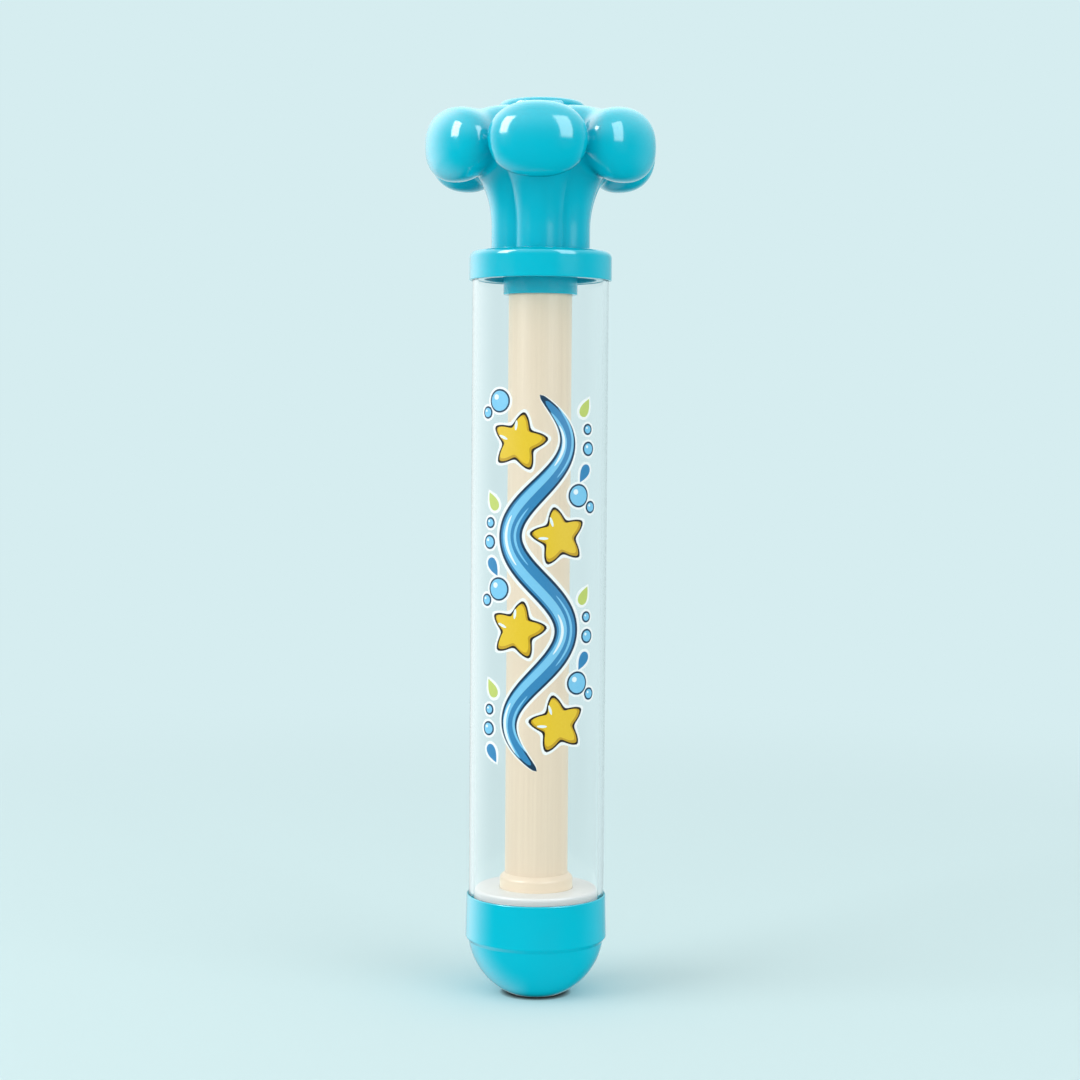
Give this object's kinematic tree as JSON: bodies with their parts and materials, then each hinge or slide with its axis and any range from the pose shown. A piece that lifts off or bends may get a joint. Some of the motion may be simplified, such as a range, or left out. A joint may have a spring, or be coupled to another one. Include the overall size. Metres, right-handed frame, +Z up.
{
  "type": "water squirter",
  "caption": "Pump water squirter: a clear barrel with a round nozzle cap and a collar, and a sliding plunger with a sealed piston and a lobed knob.",
  "frame": {"origin": "centre of the flat tip of the nose cap, where the nozzle opens and the squirter stands", "axes": "+Z up the barrel from the nozzle to the knob, -Y towards the printed front of the barrel, +X to its right seen from the front"},
  "size_m": [0.0724, 0.076, 0.2821],
  "materials": {
    "teal_plastic": "glossy moulded",
    "clear_plastic": "clear extruded",
    "cream_plastic": "satin extruded",
    "white_plastic": "satin moulded",
    "seal_rubber": "matt",
    "screw_steel": "plated"
  },
  "bodies": {
    "barrel": {"nose_cap": "teal_plastic", "barrel_tube": "clear_plastic", "collar": "teal_plastic"},
    "seal": {"piston_seal": "seal_rubber"},
    "plunger": {"piston_head": "white_plastic", "piston_washer": "screw_steel", "piston_screw": "screw_steel", "rod_foot_cup": "cream_plastic", "rod_foot_plug": "white_plastic", "plunger_rod": "cream_plastic", "rod_head_plug": "white_plastic", "knob": "teal_plastic", "knob_screw": "screw_steel", "knob_cap": "teal_plastic"}
  },
  "joints": [
    {"name": "plunger_slide", "type": "slide", "parent": "barrel", "child": "seal", "axis": [0, 0, 1], "range_m": [0, 0.183]},
    {"name": "plunger_turn", "type": "hinge", "parent": "seal", "child": "plunger", "pos_m": [0, 0, 0.0289], "axis": [0, 0, 1], "continuous": true}
  ]
}
